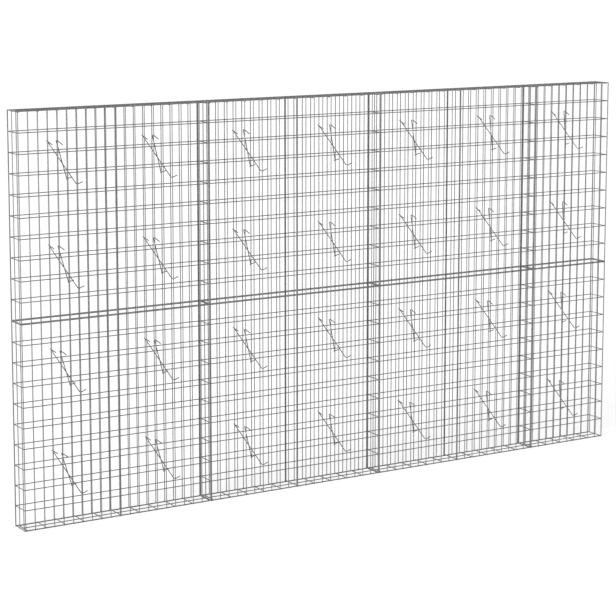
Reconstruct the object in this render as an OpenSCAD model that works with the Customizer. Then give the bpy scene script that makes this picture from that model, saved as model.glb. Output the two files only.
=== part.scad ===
// Empty gabion wall: welded-wire face panels in half-metre bays and two tiers, with
// end panels, inner partitions, base strips, lids and hooked ties.
// Origin: on the ground under the middle of the wall. +X along it, -Y the front.

/* [Mesh] */
// wire diameter
wire_d = 4.5; // [3:0.1:5]
// wire spacing along the wall and through its thickness
cell_w = 50; // [40:1:75]
// wire spacing up the wall
cell_h = 100; // [75:1:120]
// how deep two crossing wires sink into each other at their weld
weld = 0.9; // [0.3:0.1:1.2]

/* [Wall] */
// cells along one bay
bay_cells = 10; // [6:2:12]
// cells up one tier
tier_cells = 10; // [6:1:12]
// cells through the thickness
deep_cells = 2; // [2:1:6]
// distance between the edge wires of two panels that lie side by side
seam = 5; // [5:0.5:10]
// play between pieces that are laced or hooked together
seat = 0.3; // [0.2:0.1:0.5]
// play at both ends of a lid or base strip
end_play = 5; // [5:1:10]

/* [Ties] */
// cells along the wall that one tie runs
tie_cells = 2; // [2:2:4]
// cells down the wall that one tie drops
tie_rows = 2; // [2:2:4]
// straight length between a tie's slanting rod and its hook
tie_stub = 2; // [1:0.5:5]
// how far the tip of a hook runs along the wall
tip_run = 22; // [10:1:30]
// how far the tip of a tie's upper hook points down
tip_drop = 22; // [5:1:25]
// how far the tip of a tie's lower hook points up
tip_lift = 9; // [5:1:25]

/* [Hidden] */
wire_sides = 4;
bays = 7;
tiers = 2;
strip_bays = 2;
bay_w = bay_cells * cell_w;
tier_h = tier_cells * cell_h;
deep = deep_cells * cell_w;
bay_step = bay_w + seam;
tier_step = tier_h + seam;
wall_l = bays * bay_step - seam;
lap = wire_d - weld;
face_y = deep / 2 + wire_d + lap + seat;
low = wire_d / 2;
top_z = low + tiers * tier_step - seam;
x_left = -wall_l / 2;
strips = ceil(bays / strip_bays);
cross_depth = lap + low;
hook_r = wire_d + seat;
hook_back = wire_d + tie_stub;
tie_run = tie_cells * cell_w;
tie_drop = tie_rows * cell_h;
tie_level = (floor(tier_cells / 4) + 0.5) * cell_h;
tie_apart = hook_r * norm([tie_drop, tie_run]) / tie_run;
steel = [0.62, 0.63, 0.64];

function bay_x(k) = x_left + (k - 1) * bay_step;
function tier_z(t) = low + t * tier_step;

// a straight wire of four sides along +Z, centred on its axis
module wire(l) {
  cylinder(h = l, d = wire_d, $fn = wire_sides);
}

// upright wires in the plane y = 0 and cross wires behind them, fused where they cross
module mesh(nx, nz, dx, dz) {
  for (i = [0:nx])
    translate([i * dx, 0, -low])
      wire(nz * dz + wire_d);
  for (j = [0:nz])
    translate([-low, lap, j * dz])
      rotate([0, 90, 0])
        wire(nx * dx + wire_d);
}

module face_panel(side, t, k) {
  translate([bay_x(k), side * face_y, tier_z(t)])
    scale([1, -side, 1])
      mesh(bay_cells, tier_cells, cell_w, cell_h);
}

// a narrow panel across the wall, its short wires on the side given by turn
module cross_panel(x, t, turn) {
  translate([x, 0, tier_z(t)])
    rotate([0, 0, 90])
      translate([-deep / 2, 0, 0])
        scale([1, turn, 1])
          mesh(deep_cells, tier_cells, cell_w, cell_h);
}

module end_panel(side, t) {
  cross_panel(side * (wall_l / 2 + seam), t, side);
}

module partition(i, t) {
  cross_panel(bay_x(i * strip_bays + 1) - seam / 2, t, -1);
}

// a flat strip between the faces, over the whole of compartment p, at height z
module strip(p, z, inner) {
  first = p * strip_bays + 1;
  last = min(first + strip_bays, bays + 1) - 1;
  before = first == 1 ? seam : seam / 2;
  after = last == bays ? seam - cross_depth : seam / 2 - low;
  x0 = bay_x(first) - before + cross_depth + end_play + low;
  x1 = bay_x(last) + bay_w + after - end_play - low;
  cells = (last - first + 1) * round(bay_w / cell_h);
  translate([x0, -deep / 2, z])
    rotate([0, 0, 90])
      scale([1, -1, 1])
        flat_mesh(deep_cells, cells, cell_w, (x1 - x0) / cells, inner);
}

// long wires at z = 0 and short ones above or below, fused where they cross
module flat_mesh(nx, ny, dx, dy, inner) {
  for (i = [0:nx])
    translate([i * dx, -low, 0])
      rotate([-90, 0, 0])
        wire(ny * dy + wire_d);
  for (j = [0:ny])
    translate([-low, j * dy, inner * lap])
      rotate([0, 90, 0])
        wire(nx * dx + wire_d);
}

// a straight piece of wire from a to b
module rod(a, b) {
  v = b - a;
  l = norm(v);
  translate(a)
    rotate([0, acos(v[2] / l), atan2(v[1], v[0])])
      cylinder(h = l, d = wire_d, $fn = wire_sides);
}

// hooked wire from the face at side s (upper end) to the other face (lower end)
module tie(s) {
  hook_and_rod(s, -1);
  hook_and_rod(-s, 1);
}

// one hook, round an upright wire of the face at side s, and its half of the rod
module hook_and_rod(s, end) {
  eye = [end * tie_run / 2, s * face_y, -end * tie_drop / 2];
  a = eye + [-hook_r, -s * hook_back, 0];
  b = eye + [-hook_r, s * hook_r, 0];
  c = eye + [hook_r, s * hook_r, 0];
  d = c + [tip_run, -s * hook_r, end < 0 ? -tip_drop : tip_lift];
  rod([-hook_r, 0, 0], a);
  rod(a, b);
  rod(b, c);
  rod(c, d);
}

// a pair of crossing ties in each half-metre square of one tier
module tie_pairs(t) {
  for (k = [1:bays], level = [tie_level, tier_h - tie_level], s = [-1, 1])
    translate([bay_x(k) + bay_w / 2, 0, tier_z(t) + level - s * tie_apart / 2])
      tie(s);
}

module front_panel_lower_1() { color(steel) face_panel(-1, 0, 1); }
module front_panel_lower_2() { color(steel) face_panel(-1, 0, 2); }
module front_panel_lower_3() { color(steel) face_panel(-1, 0, 3); }
module front_panel_lower_4() { color(steel) face_panel(-1, 0, 4); }
module front_panel_lower_5() { color(steel) face_panel(-1, 0, 5); }
module front_panel_lower_6() { color(steel) face_panel(-1, 0, 6); }
module front_panel_lower_7() { color(steel) face_panel(-1, 0, 7); }
module front_panel_upper_1() { color(steel) face_panel(-1, 1, 1); }
module front_panel_upper_2() { color(steel) face_panel(-1, 1, 2); }
module front_panel_upper_3() { color(steel) face_panel(-1, 1, 3); }
module front_panel_upper_4() { color(steel) face_panel(-1, 1, 4); }
module front_panel_upper_5() { color(steel) face_panel(-1, 1, 5); }
module front_panel_upper_6() { color(steel) face_panel(-1, 1, 6); }
module front_panel_upper_7() { color(steel) face_panel(-1, 1, 7); }
module back_panel_lower_1() { color(steel) face_panel(1, 0, 1); }
module back_panel_lower_2() { color(steel) face_panel(1, 0, 2); }
module back_panel_lower_3() { color(steel) face_panel(1, 0, 3); }
module back_panel_lower_4() { color(steel) face_panel(1, 0, 4); }
module back_panel_lower_5() { color(steel) face_panel(1, 0, 5); }
module back_panel_lower_6() { color(steel) face_panel(1, 0, 6); }
module back_panel_lower_7() { color(steel) face_panel(1, 0, 7); }
module back_panel_upper_1() { color(steel) face_panel(1, 1, 1); }
module back_panel_upper_2() { color(steel) face_panel(1, 1, 2); }
module back_panel_upper_3() { color(steel) face_panel(1, 1, 3); }
module back_panel_upper_4() { color(steel) face_panel(1, 1, 4); }
module back_panel_upper_5() { color(steel) face_panel(1, 1, 5); }
module back_panel_upper_6() { color(steel) face_panel(1, 1, 6); }
module back_panel_upper_7() { color(steel) face_panel(1, 1, 7); }
module left_end_panel_lower() { color(steel) end_panel(-1, 0); }
module left_end_panel_upper() { color(steel) end_panel(-1, 1); }
module right_end_panel_lower() { color(steel) end_panel(1, 0); }
module right_end_panel_upper() { color(steel) end_panel(1, 1); }
module partition_lower_1() { color(steel) partition(1, 0); }
module partition_lower_2() { color(steel) partition(2, 0); }
module partition_lower_3() { color(steel) partition(3, 0); }
module partition_upper_1() { color(steel) partition(1, 1); }
module partition_upper_2() { color(steel) partition(2, 1); }
module partition_upper_3() { color(steel) partition(3, 1); }
module base_strips() { color(steel) for (p = [0:strips - 1]) strip(p, low, 1); }
module lid_1() { color(steel) strip(0, top_z, -1); }
module lid_2() { color(steel) strip(1, top_z, -1); }
module lid_3() { color(steel) strip(2, top_z, -1); }
module lid_4() { color(steel) strip(3, top_z, -1); }
module ties_lower() { color(steel) tie_pairs(0); }
module ties_upper() { color(steel) tie_pairs(1); }

front_panel_lower_1();
front_panel_lower_2();
front_panel_lower_3();
front_panel_lower_4();
front_panel_lower_5();
front_panel_lower_6();
front_panel_lower_7();
front_panel_upper_1();
front_panel_upper_2();
front_panel_upper_3();
front_panel_upper_4();
front_panel_upper_5();
front_panel_upper_6();
front_panel_upper_7();
back_panel_lower_1();
back_panel_lower_2();
back_panel_lower_3();
back_panel_lower_4();
back_panel_lower_5();
back_panel_lower_6();
back_panel_lower_7();
back_panel_upper_1();
back_panel_upper_2();
back_panel_upper_3();
back_panel_upper_4();
back_panel_upper_5();
back_panel_upper_6();
back_panel_upper_7();
left_end_panel_lower();
left_end_panel_upper();
right_end_panel_lower();
right_end_panel_upper();
partition_lower_1();
partition_lower_2();
partition_lower_3();
partition_upper_1();
partition_upper_2();
partition_upper_3();
base_strips();
lid_1();
lid_2();
lid_3();
lid_4();
ties_lower();
ties_upper();
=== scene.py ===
import math
import random

import bpy
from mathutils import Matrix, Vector


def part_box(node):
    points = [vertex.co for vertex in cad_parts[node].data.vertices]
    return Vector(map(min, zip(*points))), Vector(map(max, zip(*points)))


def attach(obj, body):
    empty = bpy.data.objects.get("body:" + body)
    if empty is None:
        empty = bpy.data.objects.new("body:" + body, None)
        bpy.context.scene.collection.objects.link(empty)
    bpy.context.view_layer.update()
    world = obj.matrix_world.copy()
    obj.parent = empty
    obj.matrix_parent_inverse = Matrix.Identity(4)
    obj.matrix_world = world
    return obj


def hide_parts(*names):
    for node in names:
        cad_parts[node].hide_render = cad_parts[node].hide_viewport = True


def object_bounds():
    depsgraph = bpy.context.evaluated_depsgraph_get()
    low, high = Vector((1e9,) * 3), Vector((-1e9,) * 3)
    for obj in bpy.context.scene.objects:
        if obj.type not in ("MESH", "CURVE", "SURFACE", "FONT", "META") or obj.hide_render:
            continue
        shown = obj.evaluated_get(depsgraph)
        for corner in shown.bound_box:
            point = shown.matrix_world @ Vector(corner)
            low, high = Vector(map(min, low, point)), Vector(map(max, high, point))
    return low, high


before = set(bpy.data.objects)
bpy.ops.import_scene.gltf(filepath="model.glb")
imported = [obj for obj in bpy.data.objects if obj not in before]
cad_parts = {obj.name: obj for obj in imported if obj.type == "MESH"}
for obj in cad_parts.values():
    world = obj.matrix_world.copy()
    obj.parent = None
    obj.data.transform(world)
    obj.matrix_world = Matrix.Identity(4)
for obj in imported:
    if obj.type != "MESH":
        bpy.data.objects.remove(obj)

# An empty gabion wall of welded mesh. Every CAD node is replaced by round wires with their
# welds, sheared ends and bends, at the places that the node's own box gives.

cad_lo, cad_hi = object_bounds()
rng = random.Random(7)

# wires, in metres
WIRE_R = 0.00225
SIDES = 12
END_BEVEL = 0.0005
END_SHEAR = 0.0009
END_NARROW = 0.78
WOBBLE = 0.00018

# mesh
FACE_CELLS = (10, 10)
CROSS_CELLS = (2, 10)
LONG_STRIP_CELLS = 10
SHORT_STRIP_CELLS = 5
DEEP_CELLS = 2
LONG_STRIP = 0.7

# welds
WELD_HALF_W = 0.0025
WELD_HALF_T = 0.0013
WELD_SIZES = (0.92, 1.12)
WELD_EDGES = (0.94, 1.06)
WELD_HALF_MAX = WELD_HALF_W * WELD_SIZES[1] * WELD_EDGES[1]
WELD_RING = 8
WELD_LEVELS = (-0.62, 0.0, 0.62)

# ties
TIE_CELLS = 2
TIE_ROWS = 2
TIE_LEVEL_CELLS = 2.5
TIE_SEAT = 0.0003
TIE_STUB = 0.002
TIP_RUN = 0.022
TIP_DROP = 0.022
TIP_LIFT = 0.009
BEND_POINTS = 9
BEND_LIFT = 0.12

# finish: sizes of the noise are in cells per metre
ZINC_TONE = (0.25, 0.254, 0.258)
# painted shade: the ties take a darker copy of the zinc tone so that they read darker, as shade makes
# them look; the real ties are the same galvanised wire as the mesh
TIE_PAINTED_SHADE_TONE = (0.20, 0.204, 0.208)
METALLIC = 0.25
CRYSTAL_SCALE = 260.0
CRYSTAL_GREYS = ((0.2, (0.80, 0.80, 0.81)), (0.8, (1.0, 1.0, 1.0)))
CLOUD_SCALE = 9.0
CLOUD_EDGES = (0.35, 0.65)
CLOUD_DARK = 0.84
ROUGH_SCALE = 120.0
ROUGH_LEVELS = ((0.3, (0.36,) * 3), (0.7, (0.52,) * 3))
GRAIN_SCALE = 900.0
GRAIN_HEIGHT = 0.0002
GRAIN_STRENGTH = 0.25
NOISE_DETAIL = 4.0
ROUGH_DETAIL = 3.0
FLOOR_COLOUR = (0.86, 0.86, 0.86, 1)
SENSOR = 36.0
FAR = 200.0

X = Vector((1, 0, 0))
Y = Vector((0, 1, 0))
Z = Vector((0, 0, 1))


# ---------------------------------------------------------------- camera and light

def make_camera(azimuth, elevation, distance, aim, lens, shift_y):
    """A camera at the photograph's viewing angle, looking at the point aim."""
    data = bpy.data.cameras.new("camera")
    data.lens = lens
    data.sensor_width = SENSOR
    data.shift_y = shift_y
    data.clip_end = FAR
    camera = bpy.data.objects.new("camera", data)
    bpy.context.scene.collection.objects.link(camera)
    a, e = math.radians(azimuth), math.radians(elevation)
    back = Vector((math.sin(a) * math.cos(e), -math.cos(a) * math.cos(e), math.sin(e)))
    camera.location = aim + back * distance
    camera.rotation_mode = "QUATERNION"
    camera.rotation_quaternion = (-back).to_track_quat("-Z", "Y")
    bpy.context.scene.camera = camera


def seen_directly(tree):
    """A value that is 1 where the camera sees a surface itself, in a reflection or through glass."""
    path = tree.nodes.new("ShaderNodeLightPath")
    total = path.outputs["Is Camera Ray"]
    for other in ("Is Glossy Ray", "Is Transmission Ray"):
        add = tree.nodes.new("ShaderNodeMath")
        add.operation = "ADD"
        add.use_clamp = True
        tree.links.new(total, add.inputs[0])
        tree.links.new(path.outputs[other], add.inputs[1])
        total = add.outputs[0]
    return total


def make_world(strength):
    """Even soft light, with a white background."""
    world = bpy.data.worlds.new("studio")
    world.use_nodes = True
    tree = world.node_tree
    tree.nodes.clear()
    light = tree.nodes.new("ShaderNodeBackground")
    light.inputs["Color"].default_value = (1, 1, 1, 1)
    light.inputs["Strength"].default_value = strength
    white = tree.nodes.new("ShaderNodeBackground")
    white.inputs["Color"].default_value = (1, 1, 1, 1)
    white.inputs["Strength"].default_value = 1.0
    mix = tree.nodes.new("ShaderNodeMixShader")
    out = tree.nodes.new("ShaderNodeOutputWorld")
    tree.links.new(seen_directly(tree), mix.inputs["Fac"])
    tree.links.new(light.outputs[0], mix.inputs[1])
    tree.links.new(white.outputs[0], mix.inputs[2])
    tree.links.new(mix.outputs[0], out.inputs["Surface"])
    bpy.context.scene.world = world


def make_sun(toward, strength, spread):
    """A soft sun that stands in the direction toward."""
    data = bpy.data.lights.new("sun", "SUN")
    data.energy = strength
    data.angle = math.radians(spread)
    sun = bpy.data.objects.new("sun", data)
    sun.rotation_mode = "QUATERNION"
    sun.rotation_quaternion = Vector(toward).to_track_quat("Z", "Y")
    bpy.context.scene.collection.objects.link(sun)


def make_floor(half_size, glow):
    """A plain pale floor that shows white and still takes the wall's shadow."""
    mesh = bpy.data.meshes.new("floor")
    corners = [(x * half_size, y * half_size, 0.0) for x, y in ((-1, -1), (1, -1), (1, 1), (-1, 1))]
    mesh.from_pydata(corners, [], [(0, 1, 2, 3)])
    floor = bpy.data.objects.new("floor", mesh)
    bpy.context.scene.collection.objects.link(floor)
    material = bpy.data.materials.new("pale_floor")
    material.use_nodes = True
    tree = material.node_tree
    tree.nodes.clear()
    matt = tree.nodes.new("ShaderNodeBsdfDiffuse")
    matt.inputs["Color"].default_value = FLOOR_COLOUR
    emission = tree.nodes.new("ShaderNodeEmission")
    strength = tree.nodes.new("ShaderNodeMath")
    strength.operation = "MULTIPLY"
    strength.inputs[1].default_value = glow
    add = tree.nodes.new("ShaderNodeAddShader")
    out = tree.nodes.new("ShaderNodeOutputMaterial")
    tree.links.new(seen_directly(tree), strength.inputs[0])
    tree.links.new(strength.outputs[0], emission.inputs["Strength"])
    tree.links.new(matt.outputs[0], add.inputs[0])
    tree.links.new(emission.outputs[0], add.inputs[1])
    tree.links.new(add.outputs[0], out.inputs["Surface"])
    mesh.materials.append(material)


# ---------------------------------------------------------------- material

def ramp(tree, factor, stops):
    """A colour ramp over factor, through stops of (place, colour)."""
    node = tree.nodes.new("ShaderNodeValToRGB")
    elements = node.color_ramp.elements
    elements[0].position, elements[1].position = stops[0][0], stops[-1][0]
    for place, _ in stops[1:-1]:
        elements.new(place)
    for element, (_, colour) in zip(elements, stops):
        element.color = (*colour, 1)
    tree.links.new(factor, node.inputs["Fac"])
    return node.outputs["Color"]


def multiply(tree, a, b):
    """The colours a and b multiplied."""
    node = tree.nodes.new("ShaderNodeMix")
    node.data_type = "RGBA"
    node.blend_type = "MULTIPLY"
    node.inputs["Factor"].default_value = 1.0
    tree.links.new(a, node.inputs["A"])
    tree.links.new(b, node.inputs["B"])
    return node.outputs["Result"]


def noise(tree, place, scale, detail):
    """Noise from 0 to 1 over the surface's own coordinates."""
    node = tree.nodes.new("ShaderNodeTexNoise")
    node.inputs["Scale"].default_value = scale
    node.inputs["Detail"].default_value = detail
    tree.links.new(place, node.inputs["Vector"])
    return node.outputs["Fac"]


def galvanised(name, tone):
    """Dull zinc on steel wire: grey crystals of a few millimetres, cloudy patches, a fine grain."""
    material = bpy.data.materials.new(name)
    material.use_nodes = True
    tree = material.node_tree
    shader = tree.nodes["Principled BSDF"]
    place = tree.nodes.new("ShaderNodeTexCoord").outputs["Object"]

    crystals = tree.nodes.new("ShaderNodeTexVoronoi")
    crystals.inputs["Scale"].default_value = CRYSTAL_SCALE
    tree.links.new(place, crystals.inputs["Vector"])
    grey = tree.nodes.new("ShaderNodeRGBToBW")
    tree.links.new(crystals.outputs["Color"], grey.inputs["Color"])
    spangle = ramp(tree, grey.outputs[0], CRYSTAL_GREYS)
    dull = [CLOUD_DARK * c for c in tone]
    patches = noise(tree, place, CLOUD_SCALE, NOISE_DETAIL)
    clouds = ramp(tree, patches, ((CLOUD_EDGES[0], dull), (CLOUD_EDGES[1], tone)))
    tree.links.new(multiply(tree, clouds, spangle), shader.inputs["Base Color"])

    rough = ramp(tree, noise(tree, place, ROUGH_SCALE, ROUGH_DETAIL), ROUGH_LEVELS)
    tree.links.new(rough, shader.inputs["Roughness"])
    shader.inputs["Metallic"].default_value = METALLIC

    bump = tree.nodes.new("ShaderNodeBump")
    bump.inputs["Strength"].default_value = GRAIN_STRENGTH
    bump.inputs["Distance"].default_value = GRAIN_HEIGHT
    tree.links.new(noise(tree, place, GRAIN_SCALE, NOISE_DETAIL), bump.inputs["Height"])
    tree.links.new(bump.outputs[0], shader.inputs["Normal"])
    return material


# ---------------------------------------------------------------- shapes

class Shape:
    """Vertices and faces of one piece, gathered before its mesh is made."""

    def __init__(self):
        self.verts = []
        self.faces = []

    def add(self, verts, faces):
        base = len(self.verts)
        self.verts.extend(verts)
        self.faces.extend([tuple(base + i for i in face) for face in faces])

    def piece(self, name, node, material):
        """Makes the mesh, which stands for the CAD node from here on."""
        mesh = bpy.data.meshes.new(name)
        mesh.from_pydata(self.verts, [], self.faces)
        mesh.materials.append(material)
        mesh.polygons.foreach_set("use_smooth", [len(p.vertices) < SIDES for p in mesh.polygons])
        mesh.update()
        piece = bpy.data.objects.new(name, mesh)
        bpy.context.scene.collection.objects.link(piece)
        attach(piece, "root")
        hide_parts(node)
        return piece


def ring_faces(first, second):
    """The faces between two rings of a wire, given by their first vertices."""
    return [
        (first + k, first + (k + 1) % SIDES, second + (k + 1) % SIDES, second + k)
        for k in range(SIDES)
    ]


def tube(shape, path):
    """A round wire along path, a list of points, with bevelled ends as a shear leaves them."""
    points = [Vector(p) for p in path]
    start = (points[1] - points[0]).normalized()
    end = (points[-1] - points[-2]).normalized()
    points.insert(1, points[0] + start * END_BEVEL)
    points.insert(-1, points[-1] - end * END_BEVEL)
    last = len(points) - 1
    side = start.orthogonal().normalized()
    turn = rng.uniform(0, 2 * math.pi)
    verts = []
    for i, point in enumerate(points):
        ahead = points[min(i + 1, last)] - points[max(i - 1, 0)]
        ahead.normalize()
        side = (side - ahead * side.dot(ahead)).normalized()
        other = ahead.cross(side)
        radius = WIRE_R * (END_NARROW if i in (0, last) else 1.0)
        for k in range(SIDES):
            angle = turn + 2 * math.pi * k / SIDES
            corner = point + (side * math.cos(angle) + other * math.sin(angle)) * radius
            if i in (0, 1):
                corner += start * END_SHEAR * (1 + math.cos(angle)) / 2
            if i in (last - 1, last):
                corner -= end * END_SHEAR * (1 + math.cos(angle)) / 2
            verts.append(corner)
    faces = []
    for i in range(last):
        faces += ring_faces(i * SIDES, (i + 1) * SIDES)
    faces.append(tuple(reversed(range(SIDES))))
    faces.append(tuple(range(last * SIDES, (last + 1) * SIDES)))
    shape.add(verts, faces)


def weld(shape, centre, a, b, through):
    """A small flattened bead between two crossing wires that run along a and b."""
    half_a = WELD_HALF_W * rng.uniform(*WELD_SIZES)
    half_b = WELD_HALF_W * rng.uniform(*WELD_SIZES)
    verts = [centre - through * WELD_HALF_T]
    for level in WELD_LEVELS:
        reach = math.sqrt(1 - level * level)
        for k in range(WELD_RING):
            angle = 2 * math.pi * k / WELD_RING
            out = reach * rng.uniform(*WELD_EDGES)
            flat = a * (math.cos(angle) * half_a * out) + b * (math.sin(angle) * half_b * out)
            verts.append(centre + flat + through * (level * WELD_HALF_T))
    verts.append(centre + through * WELD_HALF_T)
    faces = []
    top = len(verts) - 1
    upper = 1 + WELD_RING * (len(WELD_LEVELS) - 1)
    for k in range(WELD_RING):
        after = (k + 1) % WELD_RING
        faces.append((0, 1 + after, 1 + k))
        for row in range(len(WELD_LEVELS) - 1):
            low, high = 1 + row * WELD_RING, 1 + (row + 1) * WELD_RING
            faces.append((low + k, low + after, high + after, high + k))
        faces.append((upper + k, upper + after, top))
    shape.add(verts, faces)


def inward(i, last):
    """How far a bead moves off the mesh's edge, so that it doesn't stand past the edge wire."""
    return (WELD_HALF_MAX - WIRE_R) * ((i == 0) - (i == last))


def lattice(shape, corner, run, rise, cells, inner):
    """Welded mesh from the first crossing at corner: wires along rise, and wires along run
    behind them, moved by inner."""
    n_run, n_rise = cells
    along, up, through = run.normalized(), rise.normalized(), inner.normalized()

    def off(i, j):
        edge = i in (0, n_run) or j in (0, n_rise)
        return 0.0 if edge else rng.uniform(-WOBBLE, WOBBLE)

    crossing = [
        [
            corner + run * (i / n_run) + rise * (j / n_rise) + along * off(i, j) + up * off(i, j)
            for j in range(n_rise + 1)
        ]
        for i in range(n_run + 1)
    ]
    for i in range(n_run + 1):
        tube(shape, [corner + run * (i / n_run) - up * WIRE_R] + crossing[i]
             + [corner + run * (i / n_run) + rise + up * WIRE_R])
    for j in range(n_rise + 1):
        row = [crossing[i][j] + inner for i in range(n_run + 1)]
        first = corner + rise * (j / n_rise) + inner
        tube(shape, [first - along * WIRE_R] + row + [first + run + along * WIRE_R])
    for i in range(n_run + 1):
        for j in range(n_rise + 1):
            inset = along * inward(i, n_run) + up * inward(j, n_rise)
            weld(shape, crossing[i][j] + inner / 2 + inset, along, up, through)


# ---------------------------------------------------------------- the wall

def first_and_last(lo, hi, axis):
    """The middles of the first and the last wire of a box along one axis."""
    return lo[axis] + WIRE_R, hi[axis] - WIRE_R


def face_panel(node, material):
    """A bay's panel: upright wires on the outside, cross wires on the inside."""
    lo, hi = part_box(node)
    x0, x1 = first_and_last(lo, hi, 0)
    y0, y1 = first_and_last(lo, hi, 1)
    z0, z1 = first_and_last(lo, hi, 2)
    outer, inner = (y0, y1) if node.startswith("front") else (y1, y0)
    shape = Shape()
    lattice(shape, Vector((x0, outer, z0)), X * (x1 - x0), Z * (z1 - z0), FACE_CELLS,
            Y * (inner - outer))
    shape.piece("mesh_" + node, node, material)


def cross_panel(node, material):
    """A narrow panel across the wall. The right end's short wires face the other way."""
    lo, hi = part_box(node)
    x0, x1 = first_and_last(lo, hi, 0)
    y0, y1 = first_and_last(lo, hi, 1)
    z0, z1 = first_and_last(lo, hi, 2)
    upright, short = (x1, x0) if node.startswith("right") else (x0, x1)
    shape = Shape()
    lattice(shape, Vector((upright, y0, z0)), Y * (y1 - y0), Z * (z1 - z0), CROSS_CELLS,
            X * (short - upright))
    shape.piece("mesh_" + node, node, material)


def strip(shape, x_from, x_to, node, long_high):
    """A flat strip between the faces. Its long wires are its highest or its lowest."""
    lo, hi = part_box(node)
    y0, y1 = first_and_last(lo, hi, 1)
    z0, z1 = first_and_last(lo, hi, 2)
    z_long, z_short = (z1, z0) if long_high else (z0, z1)
    run = x_to - x_from
    cells = LONG_STRIP_CELLS if run > LONG_STRIP else SHORT_STRIP_CELLS
    lattice(shape, Vector((x_from, y0, z_long)), Y * (y1 - y0), X * run, (DEEP_CELLS, cells),
            Z * (z_short - z_long))


def strips(material):
    """The lids, and the base strips, which lie exactly under them."""
    base = Shape()
    for node in sorted(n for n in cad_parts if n.startswith("lid")):
        lo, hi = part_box(node)
        x0, x1 = first_and_last(lo, hi, 0)
        lid = Shape()
        strip(lid, x0, x1, node, True)
        lid.piece("mesh_" + node, node, material)
        strip(base, x0, x1, "base_strips", False)
    base.piece("mesh_base_strips", "base_strips", material)


def hook(eye, side, end):
    """The points of one hook, from its stub beside an upright wire to its tip. end is -1 for a
    tie's upper hook, whose tip points down, and 1 for its lower one."""
    radius = 2 * WIRE_R + TIE_SEAT
    rise = -TIP_DROP if end < 0 else TIP_LIFT
    tip = eye + Vector((radius + TIP_RUN, 0, rise))
    leave = math.acos(radius / (radius + TIP_RUN))
    points = [eye + Vector((-radius, -side * (2 * WIRE_R + TIE_STUB), 0))]
    for k in range(BEND_POINTS + 1):
        share = k / BEND_POINTS
        angle = math.pi + (leave - math.pi) * share
        lift = rise * BEND_LIFT * share ** 2
        points.append(eye + Vector((radius * math.cos(angle), side * radius * math.sin(angle), lift)))
    points.append(tip)
    return points


def ties(node, front_panels, back_y, material):
    """Crossing pairs of hooked wires between the faces, in each half-metre square of a tier."""
    shape = Shape()
    hook_r = 2 * WIRE_R + TIE_SEAT
    for panel in front_panels:
        lo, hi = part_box(panel)
        x0, x1 = first_and_last(lo, hi, 0)
        z0, z1 = first_and_last(lo, hi, 2)
        front_y = lo[1] + WIRE_R
        cell_w = (x1 - x0) / FACE_CELLS[0]
        cell_h = (z1 - z0) / FACE_CELLS[1]
        run, drop = TIE_CELLS * cell_w, TIE_ROWS * cell_h
        apart = hook_r * math.hypot(run, drop) / run
        for level in (z0 + TIE_LEVEL_CELLS * cell_h, z1 - TIE_LEVEL_CELLS * cell_h):
            for side in (-1, 1):
                middle = Vector(((x0 + x1) / 2, 0, level - side * apart / 2))
                y_up, y_down = (front_y, back_y) if side < 0 else (back_y, front_y)
                upper = hook(middle + Vector((-run / 2, y_up, drop / 2)), side, -1)
                lower = hook(middle + Vector((run / 2, y_down, -drop / 2)), -side, 1)
                tube(shape, upper[::-1] + lower)
    shape.piece("mesh_" + node, node, material)


def build_wall():
    zinc = galvanised("galvanised_wire", ZINC_TONE)
    # painted shade: a darker copy of the same zinc for the ties
    tie_zinc_painted_shade = galvanised("galvanised_tie_painted_shade", TIE_PAINTED_SHADE_TONE)
    nodes = sorted(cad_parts)
    for node in nodes:
        if node.startswith(("front_panel", "back_panel")):
            face_panel(node, zinc)
        if "end_panel" in node or node.startswith("partition"):
            cross_panel(node, zinc)
    strips(zinc)
    back_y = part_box("back_panel_lower_1")[1][1] - WIRE_R
    for tier in ("lower", "upper"):
        fronts = [n for n in nodes if n.startswith(f"front_panel_{tier}")]
        ties(f"ties_{tier}", fronts, back_y, tie_zinc_painted_shade)


make_camera(
    azimuth=-31.57,
    elevation=7.94,
    distance=10.234,
    aim=(cad_lo + cad_hi) / 2 + Vector((-0.1515, 0.0, 0.3926)),
    lens=117.06,
    shift_y=-0.15,
)
bpy.context.scene.view_settings.view_transform = "Standard"
make_world(0.22)
make_sun((-0.96, -0.26, 0.1), 3.8, 20.0)
make_floor(60.0, 0.75)
build_wall()
